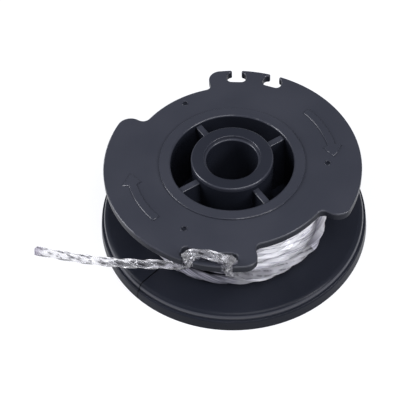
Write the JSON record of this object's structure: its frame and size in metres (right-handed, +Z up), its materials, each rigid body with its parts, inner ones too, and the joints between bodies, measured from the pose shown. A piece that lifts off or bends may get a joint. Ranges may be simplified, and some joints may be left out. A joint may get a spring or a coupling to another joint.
{
  "type": "trimmer line spool",
  "caption": "Round moulded spool with two flanges, a ribbed hub with a through bore, hooked line notches, and clear twisted cutting line wound on its drum.",
  "frame": {"origin": "centre of the lower flange's rim, on the plane that the spool stands on", "axes": "+Z up along the spool's axis; the line's tail leaves towards -X, in front of the drum (-Y)"},
  "size_m": [0.0723, 0.06, 0.0232],
  "materials": {
    "moulding": "satin moulded",
    "cutting_line": "clear, twisted"
  },
  "bodies": {
    "root": {"spool_body": "moulding", "line_winding": "cutting_line", "line_tail": "cutting_line"}
  },
  "joints": []
}
